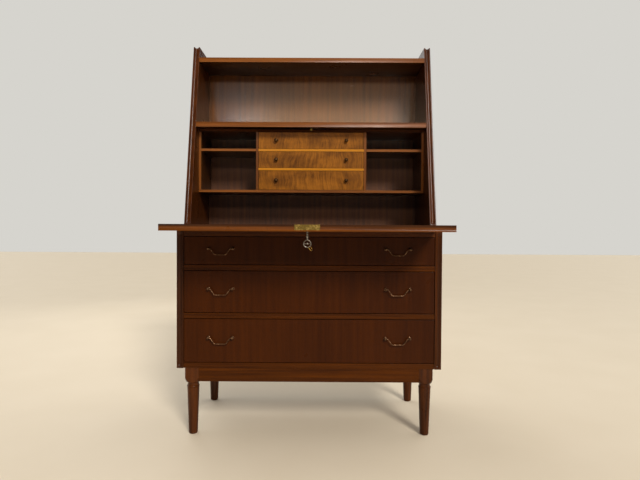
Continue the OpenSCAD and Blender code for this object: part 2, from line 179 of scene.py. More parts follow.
class Recipe:
    """The node tree of one material, filled in node by node."""

    def __init__(self, name: str) -> None:
        """Starts a material that holds a Principled shader and its output.

        Args:
            name: The material's name.
        """
        self.material = bpy.data.materials.new(name)
        self.material.use_nodes = True
        self.tree = self.material.node_tree
        self.tree.nodes.clear()
        self.out = self.tree.nodes.new("ShaderNodeOutputMaterial")
        self.shader = self.tree.nodes.new("ShaderNodeBsdfPrincipled")
        self.tree.links.new(self.shader.outputs[0], self.out.inputs["Surface"])

    def _feed(self, socket: bpy.types.NodeSocket, value: object) -> None:
        """Links a Wire to an input socket, or sets the socket to a plain value.

        Args:
            socket: The input socket.
            value: A Wire, a number, or a tuple of three.
        """
        if isinstance(value, Wire):
            self.tree.links.new(value.socket, socket)
        elif socket.type == "RGBA":
            socket.default_value = (*value, 1.0)
        else:
            socket.default_value = value

    def node(self, kind: str, settings: dict, inputs: dict, output: int | str = 0) -> Wire:
        """Adds a node: its settings first, then the values and links of its sockets.

        Args:
            kind: The node's type name.
            settings: Attributes of the node; "stops" fills a colour ramp.
            inputs: Values or Wires by socket name or number.
            output: The output to return, by name or number.

        Returns:
            The chosen output.
        """
        made = self.tree.nodes.new(kind)
        for key, value in settings.items():
            if key == "stops":
                ramp = made.color_ramp.elements
                while len(ramp) < len(value):
                    ramp.new(0.5)
                for element, (place, colour) in zip(ramp, value):
                    element.position = place
                    element.color = (*colour, 1.0)
            else:
                setattr(made, key, value)
        for key, value in inputs.items():
            self._feed(made.inputs[key], value)
        return Wire(self, made.outputs[output])

    def surface(self, **inputs: object) -> None:
        """Sets or links the Principled shader's sockets, named with _ for a space."""
        for key, value in inputs.items():
            self._feed(self.shader.inputs[key.replace("_", " ")], value)

    def place(self) -> Wire:
        """The point's place in the frame."""
        return self.node("ShaderNodeTexCoord", {}, {}, "Object")

    def mapped(self, vector: Wire, scale: Sequence[float], turn: Sequence[float] = (0, 0, 0),
               shift: Sequence[float] = (0, 0, 0)) -> Wire:
        """The vector turned, stretched and shifted."""
        return self.node("ShaderNodeMapping", {}, {
            "Vector": vector, "Location": shift, "Rotation": turn, "Scale": scale})

    def noise(self, vector: Wire, scale: float, detail: float = 2.0, rough: float = 0.5,
              output: str = "Fac") -> Wire:
        """Fractal noise at a point, with scale in waves for each metre."""
        return self.node("ShaderNodeTexNoise", {}, {
            "Vector": vector, "Scale": scale, "Detail": detail, "Roughness": rough}, output)

    def blend(self, share: object, first: object, second: object) -> Wire:
        """Two colours mixed by a share from 0 to 1."""
        settings = {"data_type": "RGBA", "blend_type": "MIX", "clamp_factor": True}
        return self.node("ShaderNodeMix", settings, {0: share, 6: first, 7: second}, 2)

    def part(self, vector: Wire, axis: Axis) -> Wire:
        """One of a vector's three numbers."""
        return self.node("ShaderNodeSeparateXYZ", {}, {"Vector": vector}, axis.value)

    def bump(self, height: Wire, depth: float) -> Wire:
        """A normal bent by a height map that is depth metres deep."""
        return self.node("ShaderNodeBump", {}, {
            "Strength": 1.0, "Distance": depth, "Height": height}, "Normal")


# ---------------------------------------------------------------- finishes


# Patterns in wood, in waves for each metre: slow drifts of tone, bends in the rings, dark
# streaks, fibres, pores and smears in the lacquer. RINGS is in radians for each metre.
DRIFT, BENDS, STREAKS, FIBRES, PORES, SMEARS = 5.0, 16.0, 70.0, 620.0, 1500.0, 9.0
RINGS = 520.0
# How far the rings' centre line lies from the frame's axis, across the grain
HEART = (0.13, 0.21)
# How far each next seed moves a pattern
SEED_STEP = np.array([0.37, 0.61, 0.83])
# The depth of the grain, the share of light that a pore gives back, and how much rougher matt
# wood is than polished wood, with half the height over which one passes into the other
GRAIN_DEPTH, PORE_TONE, MATT, POLISH_BLUR = 0.00006, 0.35, 0.4, 0.01


@dataclass(frozen=True)
class Wood:
    """Stained and lacquered wood, with its grain, pores and broad changes of tone, and painted
    light on the faces that point forwards.

    Attributes:
        name: The finish's name.
        dark: The colour of the dark streaks.
        light: The colour between them.
        contrast: How far the streaks reach towards their two colours.
        gloss: The roughness of the lacquer.
        coat: The weight of the clear coat.
        figure: How strongly the rings bend, from 0 for straight grain.
        pores: How dark the pores are.
        shine: The level of the wood's own reflections, under the coat.
        polished_from: The height above which the wood is glossy; it is matt below.
        wear_and_front_light: How many times lighter the wood is where it faces forwards: painted
            light, standing in for the front light falling on those faces.
    """

    name: str
    dark: Colour
    light: Colour
    contrast: float = 1.0
    gloss: float = 0.30
    coat: float = 0.35
    figure: float = 0.4
    pores: float = 0.5
    shine: float = 0.16
    polished_from: float = -1.0
    # Painted light: above 1, faces that point forwards are made this many times lighter, as if lit
    # from the front.
    wear_and_front_light: float = 1.0

    def material(self, grain: Axis, seed: int) -> bpy.types.Material:
        """The material for a board, kept for the next board that asks for the same one."""
        return wood_material(self, grain, seed)


@lru_cache(maxsize=None)
def wood_material(finish: Wood, grain: Axis, seed: int) -> bpy.types.Material:
    """Makes a wood material.

    The point is squeezed along the grain, so that round noise is drawn out into fibres. Growth
    rings are the sine of the distance from a far line along the grain, bent by slow noise. Every
    noise is weighted round its middle value of a half, and their sum is the share of light wood.

    Args:
        finish: The wood's colours and lacquer.
        grain: The direction of the fibres.
        seed: A number that moves the pattern, so that no two boards are alike.

    Returns:
        The material.
    """
    r = Recipe(f"{finish.name}_{grain.name.lower()}_{seed}")
    place = r.place()
    shift = tuple(SEED_STEP * seed)

    def drawn(along: float) -> Wire:
        """The point, squeezed along the grain.

        Args:
            along: How much of its length along the grain is left.

        Returns:
            The squeezed point.
        """
        scale = [1.0, 1.0, 1.0]
        scale[grain.value] = along
        return r.mapped(place, scale, shift=shift)

    slow, fast = drawn(0.12), drawn(0.035)
    drift = r.noise(slow, DRIFT, 2.0)
    bend = r.noise(slow, BENDS, 3.0, 0.55)
    across = [r.part(slow, axis) for axis in Axis if axis is not grain]
    reach = ((across[0] + HEART[0]) ** 2.0 + (across[1] + HEART[1]) ** 2.0).root()
    rings = (reach * RINGS + bend * (26.0 * finish.figure) + drift * 8.0).sine() * 0.5 + 0.5
    streaks = r.noise(fast, STREAKS, 5.0, 0.62)
    fibres = r.noise(fast, FIBRES, 2.0, 0.6)
    share = (streaks - 0.5) * (1.7 * finish.contrast) + (rings - 0.5) * (0.32 * finish.figure)
    share = share + (drift - 0.5) * 0.7 + (fibres - 0.5) * 0.35 + 0.5
    tone = r.blend(share.between(0.0, 1.0), finish.dark, finish.light)
    flecks = r.noise(drawn(0.06), PORES, 1.0, 0.5).between(0.62, 0.74)
    in_pores = tuple(v * PORE_TONE for v in finish.dark)
    tone = r.blend(flecks * finish.pores, tone, in_pores)
    # Painted light: faces that point forwards (-Y) are made lighter, as if the front light fell on
    # them.
    if finish.wear_and_front_light != 1.0:
        facing = r.node("ShaderNodeTexCoord", {}, {}, "Normal")
        front_light_gain = (-r.part(facing, Axis.Y)).between(0.3, 0.8) * (finish.wear_and_front_light - 1.0) + 1.0
        tone = r.node("ShaderNodeVectorMath", {"operation": "SCALE"}, {0: tone, "Scale": front_light_gain})
    smear = r.noise(place, SMEARS, 3.0, 0.6)
    polished = r.part(place, Axis.Z).between(
        finish.polished_from - POLISH_BLUR, finish.polished_from + POLISH_BLUR)
    height = fibres * 0.5 + flecks * -0.8 + streaks * 0.3
    r.surface(
        Base_Color=tone,
        Roughness=finish.gloss + (smear - 0.5) * 0.16 + flecks * 0.12 + (1.0 - polished) * MATT,
        Normal=r.bump(height, GRAIN_DEPTH),
        Coat_Weight=finish.coat,
        Coat_Roughness=0.13,
        Specular_IOR_Level=finish.shine,
    )
    return r.material


@dataclass(frozen=True)
class Crotch:
    """Veneer cut where a trunk forks: feathered diagonal figure in light and dark patches.

    Attributes:
        name: The finish's name.
        dark: The colour of the dark patches.
        light: The colour of the glowing patches.
        slant: The angle of the feathering, in radians from the X axis.
    """

    name: str
    dark: Colour
    light: Colour
    slant: float

    def material(self, seed: int) -> bpy.types.Material:
        """The material for a drawer front."""
        return crotch_material(self, seed)


@lru_cache(maxsize=None)
def crotch_material(finish: Crotch, seed: int) -> bpy.types.Material:
    """Makes the forked-trunk veneer: slanted fibres over cloudy patches of tone.

    Args:
        finish: The veneer's colours and slant.
        seed: A number that moves the pattern.

    Returns:
        The material.
    """
    r = Recipe(f"{finish.name}_{seed}")
    place = r.place()
    shift = tuple(np.array([0.31, 0.17, 0.59]) * seed)
    clouds = r.noise(r.mapped(place, (1.0, 1.0, 1.6), shift=shift), 13.0, 4.0, 0.55)
    warp = r.noise(r.mapped(place, (1.0, 1.0, 1.0), shift=shift), 7.0, 2.0, 0.5, "Color")
    moved = r.node("ShaderNodeVectorMath", {"operation": "MULTIPLY_ADD"}, {
        0: warp, 1: (0.09, 0.0, 0.09), 2: place})
    slanted = r.mapped(moved, (1.0, 1.0, 0.09), (0.0, finish.slant, 0.0), shift)
    feathers = r.noise(slanted, 130.0, 4.0, 0.6)
    fibres = r.noise(slanted, 700.0, 2.0, 0.6)
    share = (clouds - 0.5) * 1.2 + (feathers - 0.5) * 1.2 + (fibres - 0.5) * 0.5 + 0.52
    tone = r.blend(share.between(0.0, 1.0), finish.dark, finish.light)
    smear = r.noise(place, 11.0, 3.0, 0.6)
    r.surface(
        Base_Color=tone,
        Roughness=0.34 + (smear - 0.5) * 0.16,
        Normal=r.bump(fibres * 0.6 + feathers * 0.4, 0.00005),
        Specular_IOR_Level=0.12,
    )
    return r.material


@dataclass(frozen=True)
class Metal:
    """Brass or bronze with a worn patina.

    Attributes:
        name: The finish's name.
        bright: The colour where the metal is worn bright.
        dull: The colour of the patina.
        rough: The mean roughness.
        worn: The share of worn metal, from 0 to 1.
    """

    name: str
    bright: Colour
    dull: Colour
    rough: float = 0.34
    worn: float = 0.5

    def material(self) -> bpy.types.Material:
        """The material, one for all pieces in this finish."""
        return metal_material(self)


@lru_cache(maxsize=None)
def metal_material(finish: Metal) -> bpy.types.Material:
    """Makes an aged metal: patches of patina, fine scratches and small pits.

    Args:
        finish: The metal's colours.

    Returns:
        The material.
    """
    r = Recipe(finish.name)
    place = r.place()
    patches = r.noise(place, 160.0, 4.0, 0.6)
    grime = r.noise(place, 900.0, 2.0, 0.5)
    scratches = r.noise(r.mapped(place, (0.2, 1.0, 1.0)), 2600.0, 2.0, 0.6)
    wear = 0.4 * finish.worn
    # Only wear here: random patches where the patina is worn off the metal, no painted light.
    wear_and_front_light = (patches * 0.7 + grime * 0.3).between(0.62 - wear, 0.78 - wear)
    r.surface(
        Base_Color=r.blend(wear_and_front_light, finish.dull, finish.bright),
        Metallic=1.0,
        Roughness=finish.rough + 0.14 - wear_and_front_light * 0.16 + (scratches - 0.5) * 0.12,
        Normal=r.bump(scratches * 0.4 + grime * 0.6, 0.00003),
    )
    return r.material


WALNUT = Wood(
    "walnut", srgb(42, 16, 1), srgb(86, 42, 8), contrast=0.8, coat=0.1, shine=0.12)
# Painted light: forward-facing faces of this finish are made 3.2 times lighter, as if lit from the
# front.
EDGE = Wood(
    "walnut_edge", srgb(44, 20, 4), srgb(84, 48, 17), contrast=0.7, coat=0.0, wear_and_front_light=3.2)
# Painted light: the flap's forward-facing faces are made 2.3 times lighter, as if lit from the
# front.
FLAP = Wood(
    "flap_wood", srgb(42, 17, 0), srgb(80, 41, 5), contrast=0.7, coat=0.04, shine=0.12, wear_and_front_light=2.3)
RAIL = Wood(
    "rail_wood", srgb(44, 16, 0), srgb(80, 38, 0), contrast=0.9, figure=0.5, coat=0.0, shine=0.1)
DRAWER = Wood(
    "drawer_veneer", srgb(44, 15, 0), srgb(66, 28, 0), contrast=0.6, figure=0.2, coat=0.0,
    shine=0.1)
PANELLING = Wood(
    "back_veneer", srgb(44, 18, 2), srgb(110, 60, 14), contrast=0.55, gloss=0.24, shine=0.55,
    polished_from=1.1)
PLAIN_BACK = Wood("back_outside", srgb(112, 80, 48), srgb(160, 122, 80), gloss=0.6, coat=0.0)
LINING = Wood("drawer_lining", srgb(148, 108, 64), srgb(200, 162, 110), gloss=0.55, coat=0.0)
LIGHT = Wood("light_edge", srgb(158, 98, 10), srgb(196, 128, 22), contrast=0.6, figure=0.2)
FIGURED = Crotch("figured_veneer", srgb(78, 42, 6), srgb(152, 94, 24), 0.9)
BRASS = Metal("aged_brass", srgb(156, 134, 76), srgb(104, 86, 42), rough=0.46, worn=0.4)
BRONZE = Metal("handle_bronze", srgb(150, 116, 88), srgb(84, 60, 42), rough=0.4, worn=0.4)
KNOB = Metal("knob_bronze", srgb(104, 76, 48), srgb(64, 44, 28), rough=0.46, worn=0.3)
KEY_METAL = Metal("key_nickel", srgb(150, 144, 134), srgb(92, 84, 74), rough=0.38, worn=0.5)
RING_METAL = Metal("ring_brass", srgb(226, 186, 96), srgb(150, 112, 44), rough=0.28, worn=0.7)


# ---------------------------------------------------------------- surfaces


def grid_faces(rows: int, columns: int, wrap: bool) -> Array:
    """The quads of a grid of points.

    Args:
        rows: Points along the first parameter.
        columns: Points along the second parameter.
        wrap: Whether the last column joins the first.

    Returns:
        One row of four vertex numbers for each quad.
    """
    across = columns if wrap else columns - 1
    i, j = np.meshgrid(np.arange(rows - 1), np.arange(across), indexing="ij")
    k = (j + 1) % columns
    quads = [i * columns + j, i * columns + k, (i + 1) * columns + k, (i + 1) * columns + j]
    return np.stack(quads, -1).reshape(-1, 4)


def loft(rings: Array, closed_path: bool = False) -> Shell:
    """A skin over closed rings of points, with flat ends unless the path closes on itself.

    Args:
        rings: Points as (ring, point, xyz).
        closed_path: Whether the last ring joins the first.

    Returns:
        The points and the faces.
    """
    count, size = rings.shape[:2]
    if closed_path:
        rings = np.concatenate([rings, rings[:1]])
        faces = grid_faces(count + 1, size, True) % (count * size)
        return rings[:count].reshape(-1, 3), faces.tolist()
    faces = grid_faces(count, size, True).tolist()
    faces += [list(range(size)), list(range((count - 1) * size, count * size))]
    return rings.reshape(-1, 3), faces


def block(low: Sequence[float], high: Sequence[float]) -> Shell:
    """A box between two opposite corners: its lower ring of points, then its upper one.

    Args:
        low: The lowest corner.
        high: The highest corner.

    Returns:
        The points and the faces.
    """
    low, high = np.array(low, float), np.array(high, float)
    square = np.array([[0, 0], [1, 0], [1, 1], [0, 1]], float)
    ring = low[:2] + square * (high - low)[:2]
    rings = np.stack([np.c_[ring, np.full(4, low[2])], np.c_[ring, np.full(4, high[2])]])
    return loft(rings)


def carried_across(outline: Array, low: float, high: float) -> Shell:
    """A side view of (y, z) points carried along X from low to high."""
    rings = [np.c_[np.full(len(outline), x), outline] for x in (low, high)]
    return loft(np.stack(rings))


def turned(profile: Array, centre: Sequence[float], axis: Sequence[float], steps: int) -> Shell:
    """A turned shape: each (radius, height) of the profile swept round an axis.

    Args:
        profile: Radii and heights, from one end to the other.
        centre: Where the height is 0.
        axis: The direction of growing height.
        steps: Points round the axis.

    Returns:
        The points and the faces.
    """
    up = np.array(axis, float) / np.linalg.norm(axis)
    helper = np.array([1.0, 0, 0]) if abs(up[0]) < 0.9 else np.array([0, 1.0, 0])
    side = np.cross(helper, up)
    side /= np.linalg.norm(side)
    other = np.cross(up, side)
    angle = np.linspace(0, 2 * np.pi, steps, endpoint=False)
    spoke = np.cos(angle)[:, None] * side + np.sin(angle)[:, None] * other
    radius, height = np.maximum(profile[:, 0], NO_RADIUS), profile[:, 1]
    rings = radius[:, None, None] * spoke + height[:, None, None] * up + np.array(centre, float)
    return loft(rings)


def tube(path: Array, flat_normal: Sequence[float], radius: float | Array, sides: int = 14,
         closed: bool = False) -> Shell:
    """A round wire along a path that lies in one plane, or close to one.

    Each ring is the path's point plus radius times (cos a * n + sin a * b), where b is the
    plane's normal and n is square to b and to the path's direction.

    Args:
        path: The middle line's points.
        flat_normal: The normal of the path's plane.
        radius: The wire's radius, or one for each point.
        sides: Points round the wire.
        closed: Whether the path is a loop.

    Returns:
        The points and the faces.
    """
    ahead = np.roll(path, -1, 0) - np.roll(path, 1, 0) if closed else np.gradient(path, axis=0)
    ahead /= np.linalg.norm(ahead, axis=1)[:, None]
    level = np.array(flat_normal, float) / np.linalg.norm(flat_normal)
    across = np.cross(level, ahead)
    across /= np.linalg.norm(across, axis=1)[:, None]
    above = np.cross(ahead, across)
    angle = np.linspace(0, 2 * np.pi, sides, endpoint=False)[None, :, None]
    size = np.broadcast_to(radius, len(path))[:, None, None]
    spokes = np.cos(angle) * across[:, None] + np.sin(angle) * above[:, None]
    rings = path[:, None] + size * spokes
    return loft(rings, closed)


def filleted(corners: Array, radius: float, steps: int = 7) -> Array:
    """A polyline with each inner corner rounded by a quadratic curve.

    The curve runs from a point radius before the corner to one radius after it, as
    (1-t)^2 a + 2t(1-t) c + t^2 b, for all corners at once.

    Args:
        corners: The polyline's points.
        radius: How far from a corner its curve starts.
        steps: Points on each curve.

    Returns:
        The rounded path's points.
    """
    before, corner, after = corners[:-2], corners[1:-1], corners[2:]
    back = before - corner
    forth = after - corner
    a = corner + back / np.linalg.norm(back, axis=1)[:, None] * radius
    b = corner + forth / np.linalg.norm(forth, axis=1)[:, None] * radius
    t = np.linspace(0, 1, steps)[None, :, None]
    curve = (1 - t) ** 2 * a[:, None] + 2 * t * (1 - t) * corner[:, None] + t**2 * b[:, None]
    return np.concatenate([corners[:1], curve.reshape(-1, corners.shape[1]), corners[-1:]])


# ---------------------------------------------------------------- the frame


def box_of(node: str) -> tuple[Array, Array]:
    """The lowest and highest corners of a CAD node."""
    low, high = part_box(node)
    return np.array(low), np.array(high)


def pivot_of(joint: str) -> Array:
    """The point that a joint turns about."""
    return np.array(next(j for j in frame["joints"] if j["name"] == joint)["pos_m"])


# ---------------------------------------------------------------- the workshop


@dataclass
class Workshop:
    """Makes finished pieces from shells and puts them on their bodies.

    Attributes:
        made: The names of the pieces made so far.
    """

    made: list[str] = field(default_factory=list)

    def piece(self, name: str, shells: Sequence[Shell], body: str, slot: Slot,
              material: bpy.types.Material, replaces: Sequence[str] = (), soften: float = 0.0,
              crease: float = 35.0) -> bpy.types.Object:
        """Makes one piece.

        Args:
            name: The piece's name.
            shells: Closed surfaces as points and faces.
            body: The CAD body that it moves with.
            slot: The record's slot.
            material: What it is finished in.
            replaces: The CAD nodes that it stands for.
            soften: The width of its rounded arrises, or 0 to leave them.
            crease: Edges sharper than this many degrees are drawn sharp.

        Returns:
            The finished object.
        """
        points, faces, start = [], [], 0
        for shell_points, shell_faces in shells:
            points.append(shell_points)
            faces += [[v + start for v in face] for face in shell_faces]
            start += len(shell_points)
        mesh = bpy.data.meshes.new(name)
        mesh.from_pydata(np.concatenate(points).tolist(), [], faces)
        self.close(mesh)
        return self.finish(name, mesh, body, slot, material, replaces, soften, crease)

    @staticmethod
    def close(mesh: bpy.types.Mesh, flat: bool = False) -> None:
        """Merges doubles, drops flat seams if asked, and turns every face outwards.

        Args:
            mesh: The mesh.
            flat: Whether edges between faces in one plane are dropped.
        """
        work = bmesh.new()
        work.from_mesh(mesh)
        bmesh.ops.remove_doubles(work, verts=work.verts, dist=MERGED)
        if flat:
            bmesh.ops.dissolve_limit(
                work, angle_limit=math.radians(1.0), verts=work.verts, edges=work.edges)
        bmesh.ops.recalc_face_normals(work, faces=work.faces)
        work.to_mesh(mesh)
        work.free()

    def shaped(self, name: str, node: str, body: str, slot: Slot, material: bpy.types.Material,
               soften: float = 0.0) -> bpy.types.Object:
        """A copy of a CAD node with its doubles merged, and its arrises rounded if asked.

        Args:
            name: The piece's name.
            node: The CAD node that it stands for.
            body: The CAD body that it moves with.
            slot: The record's slot.
            material: What it is finished in.
            soften: The width of its rounded arrises, or 0 to leave them.

        Returns:
            The finished object.
        """
        mesh = frame["nodes"][node].data.copy()
        mesh.name = name
        mesh.materials.clear()
        self.close(mesh, flat=True)
        return self.finish(name, mesh, body, slot, material, [node], soften, 35.0)

    def finish(self, name: str, mesh: bpy.types.Mesh, body: str, slot: Slot,
               material: bpy.types.Material, replaces: Sequence[str], soften: float,
               crease: float) -> bpy.types.Object:
        """Makes the object of a mesh, rounds it, and ties it to the frame.

        Args:
            name: The piece's name.
            mesh: Its closed mesh.
            body: The CAD body that it moves with.
            slot: The record's slot. Not used.
            material: What it is finished in.
            replaces: The CAD nodes that it stands for.
            soften: The width of its rounded arrises, or 0 to leave them.
            crease: Edges sharper than this many degrees are drawn sharp.

        Returns:
            The finished object.
        """
        mesh.materials.append(material)
        mesh.shade_smooth()
        made = bpy.data.objects.new(name, mesh)
        bpy.context.scene.collection.objects.link(made)
        if soften:
            bevel = made.modifiers.new("Arrises", "BEVEL")
            bevel.width = soften
            bevel.segments = 2
            bevel.limit_method = "ANGLE"
            bevel.angle_limit = math.radians(40.0)
            bevel.use_clamp_overlap = False
            bevel.harden_normals = True
        else:
            mesh.set_sharp_from_angle(angle=math.radians(crease))
            even = made.modifiers.new("Even", "WEIGHTED_NORMAL")
            even.keep_sharp = True
        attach(made, body)
        if replaces:
            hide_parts(*replaces)
        self.made.append(name)
        LOG.info("made %s on %s, %d faces", name, body, len(mesh.polygons))
        return made

    def board(self, name: str, node: str, body: str, slot: Slot, material: bpy.types.Material,
              soften: float = 0.0008) -> bpy.types.Object:
        """A square board that fills a CAD node's box, with rounded arrises."""
        return self.piece(name, [block(*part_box(node))], body, slot, material, [node], soften)

    def dress(self, node: str, material: bpy.types.Material) -> None:
        """Gives a CAD node that stays its material.

        Args:
            node: The CAD node.
            material: What it is finished in.
        """
        mesh = frame["nodes"][node]
        if not mesh.material_slots:
            mesh.data.materials.append(material)
        for place in mesh.material_slots:
            place.material = material
        LOG.info("dressed %s", node)


# ---------------------------------------------------------------- the desk


@dataclass
class SidePanel:
    """One side of the case: a tall board that leans back, hollowed along its edges.

    Attributes:
        side: -1 for the left panel, 1 for the right one.
        node: The CAD node that it stands for.
        slope: The lean of the upper front edge, in radians.
        hollow: The hollow's half-width.
        depth: The hollow's depth.
        arris: The radius of the panel's rounded arrises.
        lower_stop: How far the lower hollow stops from both ends.
        upper_start: How far above the ledge the upper hollow starts.
        rebate: Width and depth of the step for the back panel, and its height.
        ledge: How far the upper part stands back from the lower one, and at what height.
        arc: Points along each rounded end of the hollow.
    """

    side: int
    node: str
    slope: float = math.radians(11.75)
    hollow: float = 0.008
    depth: float = 0.004
    arris: float = 0.0009
    lower_stop: float = 0.014
    upper_start: float = 0.034
    rebate: tuple[float, float, float] = (0.008, 0.006, 1.400)
    ledge: tuple[float, float] = (0.092, 0.722)
    arc: int = 13

    def shell(self) -> Shell:
        """The panel's surface, as a grid of (place round the outline, place across the edge).

        The hollow's radius is (w^2 + d^2) / 2d for half-width w and depth d. Its depth at t from
        the middle and q past its stop is sqrt(r^2 - t^2 - q^2) - (r - d), or nothing where that
        is negative. The outline's corners are where its inset edges cross.

        Returns:
            The points and the faces.
        """
        low, high = box_of(self.node)
        half = (high[0] - low[0]) / 2
        radius = (self.hollow**2 + self.depth**2) / (2 * self.depth)
        ends = half - self.arris + self.arris * np.sin(np.radians([0, 30, 60, 90]))
        bowl = self.hollow * np.sin(np.radians(np.linspace(-90, 90, 17)))
        step = -self.side * (half - self.rebate[0])
        t = np.sort(np.append(np.unique(np.concatenate([bowl, ends, -ends, [step]])), step))
        first = np.flatnonzero(np.isclose(t, step))[0]
        place = np.arange(len(t))
        inner = place <= first if self.side > 0 else place > first
        past = np.maximum(np.abs(t) - (half - self.arris), 0)
        rounding = self.arris - np.sqrt(np.maximum(self.arris**2 - past**2, 0))
        front, back, top, foot = low[1], high[1], high[2], low[2]
        knee = np.array([front + self.ledge[0], self.ledge[1]])
        sin, cos = math.sin(self.slope), math.cos(self.slope)

        def hollowed(beyond: Array) -> Array:
            """Depth of the hollow at each (beyond its stop, across) point."""
            inside = radius**2 - t[None] ** 2 - np.maximum(beyond, 0) ** 2
            return np.maximum(np.sqrt(np.maximum(inside, 0)) - (radius - self.depth), 0)

        full = hollowed(np.zeros((1, 1)))[0]
        quarter = np.radians(np.linspace(0, 90, self.arc))
        rows = []
        # lower front edge, from the foot to the ledge
        stops = foot + self.lower_stop, self.ledge[1] - self.lower_stop
        z = np.concatenate([
            [foot], stops[0] - radius * np.cos(quarter),
            np.linspace(foot + 0.03, self.ledge[1] - 0.03, 9),
            stops[1] + radius * np.sin(quarter), [self.ledge[1]]])
        beyond = np.maximum(stops[0] - z, z - stops[1])
        y = front + rounding[None] + hollowed(beyond[:, None])
        height = np.repeat(z[:, None], len(t), 1)
        height[0] += rounding
        height[-1] -= rounding
        rows.append(np.stack([y, height], -1))
        # ledge, then the slope up to its mitre with the top edge
        low_end = (1 - sin) * -rounding / cos
        high_end = (top - rounding - full - knee[1] + sin * (rounding + full)) / cos
        stopped = (self.upper_start + radius) / ((top - knee[1]) / cos)
        share = np.concatenate([np.linspace(0, 1, 25) * stopped, np.linspace(0.1, 1, 12)])
        along = low_end[None] + share[:, None] * (high_end - low_end)[None]
        sunk = rounding[None] + hollowed(self.upper_start / cos - along)
        rows.append(np.stack([
            knee[0] + sin * along + cos * sunk, knee[1] + cos * along - sin * sunk], -1))
        # top edge, hollowed all the way to the back
        start = rows[-1][-1, :, 0]
        share = np.linspace(0, 1, 6)[1:, None]
        rows.append(np.stack([
            start[None] + share * (back - rounding - start)[None],
            np.repeat((top - rounding - full)[None], len(share), 0)], -1))
        # back edge down to the foot, with the step for the back panel
        stepped = np.where(inner, self.rebate[1], 0.0)
        z = np.array([self.rebate[2], self.rebate[2], 1.0, 0.6, foot])
        inset = rounding[None] + np.array([0, 1, 1, 1, 1])[:, None] * stepped[None]
        height = np.repeat(z[:, None], len(t), 1)
        height[-1] += rounding
        rows.append(np.stack([back - inset, height], -1))
        outline = np.concatenate(rows)
        x = (low[0] + high[0]) / 2 + t
        points = np.concatenate([
            np.broadcast_to(x[None, :, None], (*outline.shape[:2], 1)), outline], -1)
        return loft(points.transpose(1, 0, 2))

    def build(self, shop: Workshop) -> None:
        """Makes the panel.

        Args:
            shop: The workshop that makes its pieces.
        """
        name = "panel_left" if self.side < 0 else "panel_right"
        finish = WALNUT.material(Axis.Z, 1 if self.side < 0 else 2)
        shop.piece(name, [self.shell()], "case", Slot.WALNUT, finish, [self.node], crease=28.0)


@dataclass
class Case:
    """The fixed boards of the desk, but for its side panels, base and fitted interior.

    Attributes:
        nails: How many nails hold the back panel along each upright edge.
    """

    nails: int = 9

    def boards(self, shop: Workshop) -> None:
        """Makes the level boards.

        Args:
            shop: The workshop that makes its pieces.
        """
        for name, node, finish, seed in (
            ("ledge_board", "case_top", WALNUT, 4),
            ("rail_between_1_2", "rail_upper", RAIL, 5),
            ("rail_between_2_3", "rail_lower", RAIL, 6),
            ("bottom_board", "case_bottom", RAIL, 7),
            ("bed_board", "writing_bed", WALNUT, 8),
        ):
            shop.board(name, node, "case", Slot.WALNUT, finish.material(Axis.X, seed))
        for name, node, seed in (
            ("crown_board", "top_board", 9), ("shelf_board", "middle_shelf", 10)):
            shop.shaped(name, node, "case", Slot.WALNUT, EDGE.material(Axis.X, seed), 0.0008)

    def back(self, shop: Workshop) -> None:
        """Makes the back panel and the nails that hold it.

        A nail's head is a low dome: its radius shrinks as the cosine while it rises as the sine.

        Args:
            shop: The workshop that makes its pieces.
        """
        sheet = shop.board("back_sheet", "back_panel", "case", Slot.BACK,
                           PANELLING.material(Axis.Z, 11), 0.0004)
        sheet.data.materials.append(PLAIN_BACK.material(Axis.Z, 13))
        facing = np.empty(3 * len(sheet.data.polygons))
        sheet.data.polygons.foreach_get("normal", facing)
        outside = (facing[1::3] > 0.5).astype(int)
        sheet.data.polygons.foreach_set("material_index", outside)
        low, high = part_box("back_panel")
        angle = np.radians(np.linspace(0, 90, 4))
        dome = np.c_[0.0022 * np.cos(angle), 0.0006 * np.sin(angle) - 0.0004]
        height = np.linspace(low[2] + 0.03, high[2] - 0.03, self.nails)
        heads = [
            turned(dome, (x, high[1], z), (0, 1, 0), 10)
            for x in (low[0] + 0.004, high[0] - 0.004) for z in height]
        shop.piece("back_nails", heads, "case", Slot.BRASS, BRASS.material())

    def build(self, shop: Workshop) -> None:
        """Makes every board, and dresses the runners.

        Args:
            shop: The workshop that makes its pieces.
        """
        self.boards(shop)
        self.back(shop)
        shop.dress("drawer_runners", LINING.material(Axis.Y, 12))


